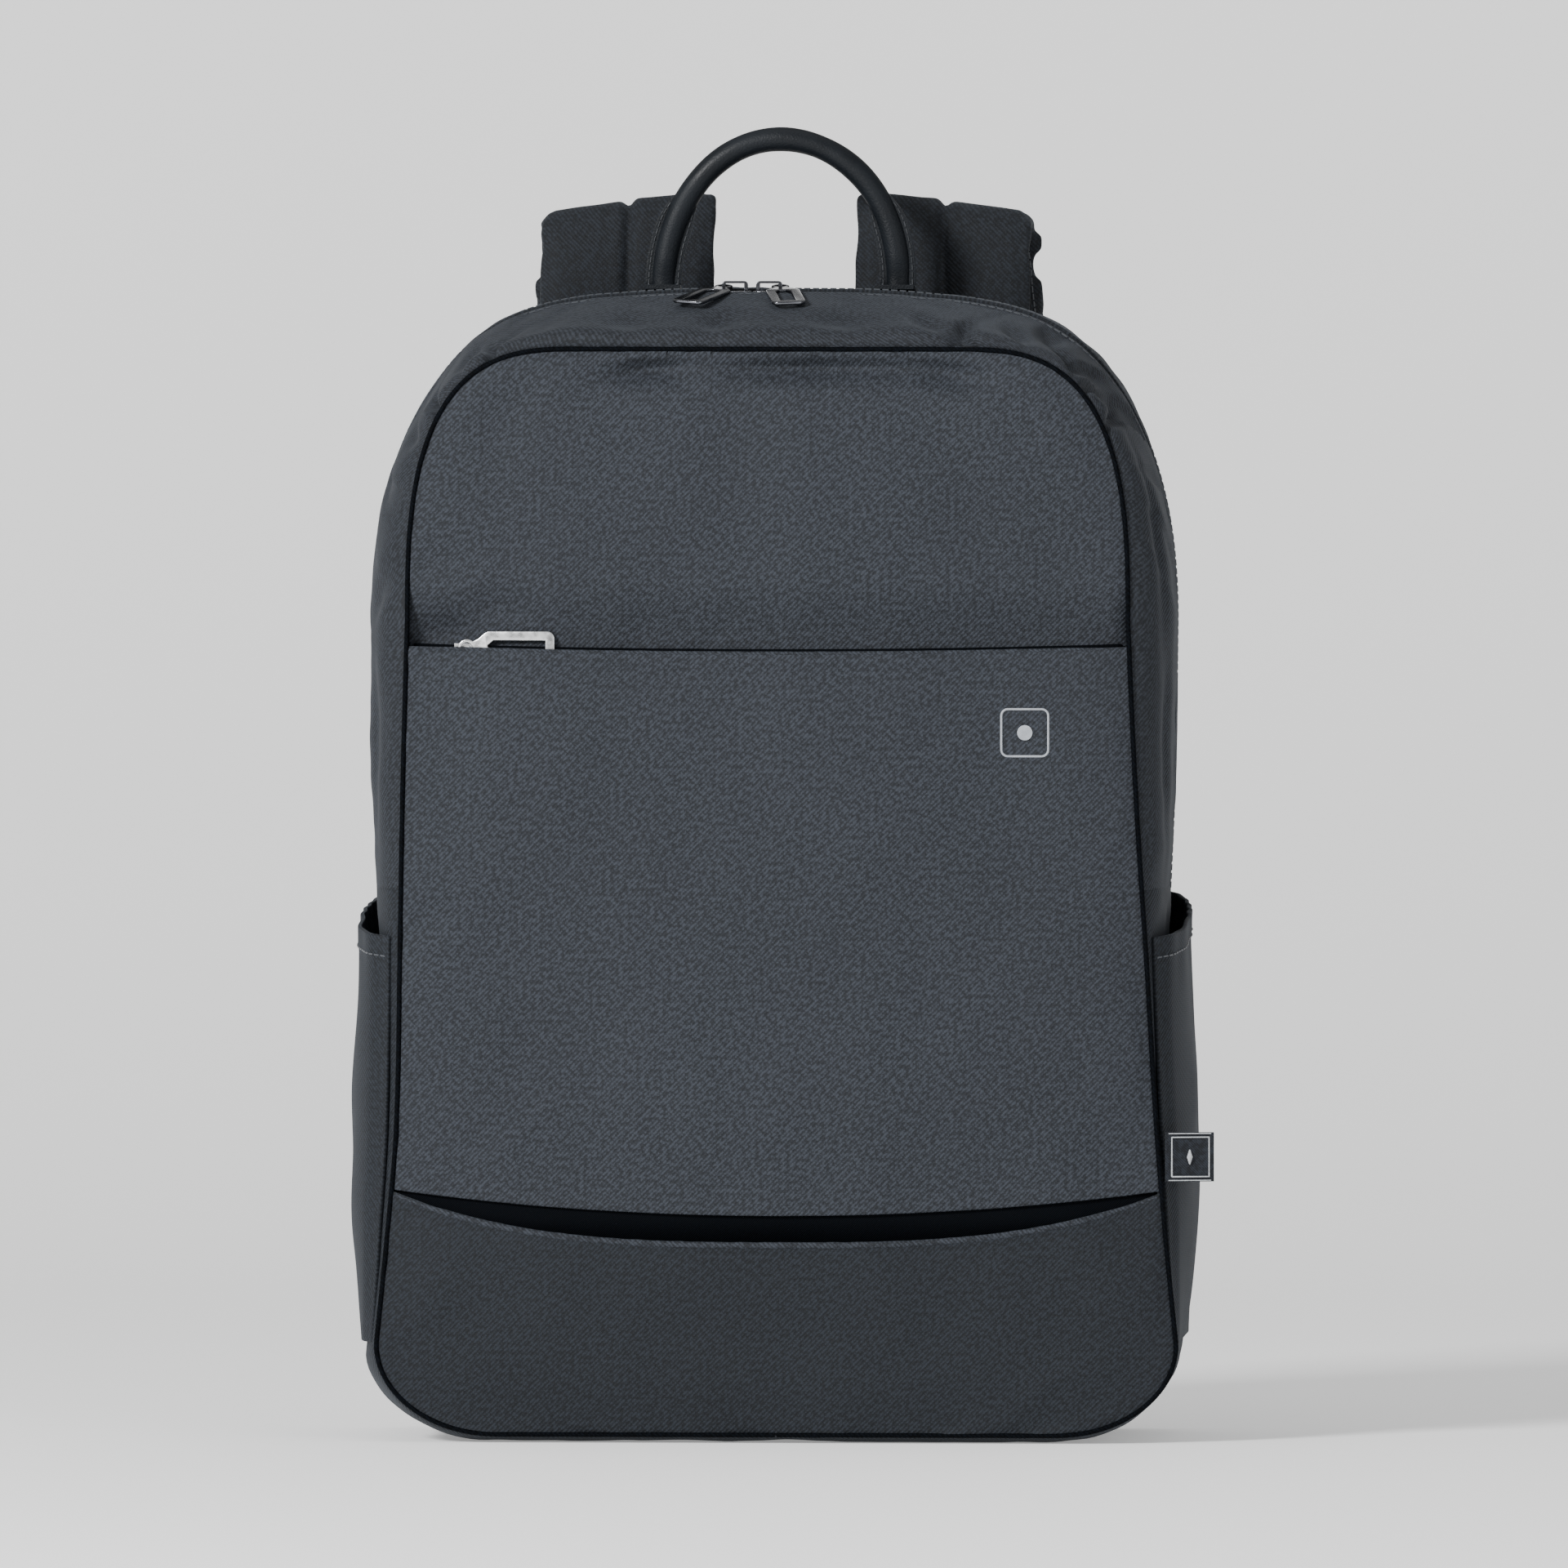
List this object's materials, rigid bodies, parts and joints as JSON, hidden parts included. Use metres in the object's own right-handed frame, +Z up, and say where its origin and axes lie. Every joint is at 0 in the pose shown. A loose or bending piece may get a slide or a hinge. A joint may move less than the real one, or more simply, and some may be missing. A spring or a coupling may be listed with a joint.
{
  "type": "laptop backpack",
  "caption": "Soft upright laptop backpack with padded shoulder straps, round top handle, zip-over top, front pocket with framed pull, curved slip pocket and open side pockets.",
  "frame": {"origin": "middle of the base of the whole thing's box, on the floor it stands on", "axes": "+Z up, the front faces -Y, +X is to the right of someone who looks at the front"},
  "size_m": [0.319, 0.1806, 0.4803],
  "materials": {
    "body_cloth": "fine woven polyester, slight sheen",
    "wall_cloth": "fine woven polyester",
    "lining": "thin dark lining",
    "padded_cloth": "padded woven polyester",
    "zip": "coil zip and tape",
    "leather": "smooth artificial leather, satin",
    "webbing": "ribbed webbing",
    "plastic": "moulded acetal",
    "dark_metal": "dark polished plating",
    "light_metal": "satin nickel plating",
    "tag": "woven tag"
  },
  "bodies": {
    "root": {"front_gusset": "body_cloth", "rear_gusset": "wall_cloth", "side_panel_left": "wall_cloth", "side_panel_right": "wall_cloth", "bottom_panel": "body_cloth", "bottom_corner_left": "body_cloth", "bottom_corner_right": "body_cloth", "back_panel": "padded_cloth", "upper_front_panel": "body_cloth", "main_front_panel": "body_cloth", "lower_front_panel": "body_cloth", "slip_pocket_lining": "lining", "slip_pocket_facing": "lining", "front_piping": "body_cloth", "side_pocket_left": "wall_cloth", "side_pocket_right": "wall_cloth", "main_zip_tape_front": "zip", "main_zip_tape_rear": "zip", "main_zip_coil": "zip", "pocket_zip": "zip", "top_slider_left": "dark_metal", "top_slider_right": "dark_metal", "pocket_slider": "light_metal", "pocket_pull": "light_metal", "carry_handle": "leather", "handle_tab_left": "leather", "handle_tab_right": "leather", "shoulder_strap_left": "padded_cloth", "shoulder_strap_right": "padded_cloth", "strap_buckle_left": "plastic", "strap_buckle_right": "plastic", "strap_webbing_left": "webbing", "strap_webbing_right": "webbing", "side_tag": "tag"},
    "top_pull_left": {"top_pull_left": "dark_metal"},
    "top_pull_right": {"top_pull_right": "dark_metal"}
  },
  "joints": [
    {"name": "left_pull_swing", "type": "hinge", "parent": "root", "child": "top_pull_left", "pos_m": [-0.02329, -0.02043, 0.42135], "axis": [0, 0.1736, -0.9848], "range_deg": [-8, 120]},
    {"name": "right_pull_swing", "type": "hinge", "parent": "root", "child": "top_pull_right", "pos_m": [-0.00249, -0.02043, 0.42135], "axis": [0, -0.1736, 0.9848], "range_deg": [-8, 120]}
  ]
}
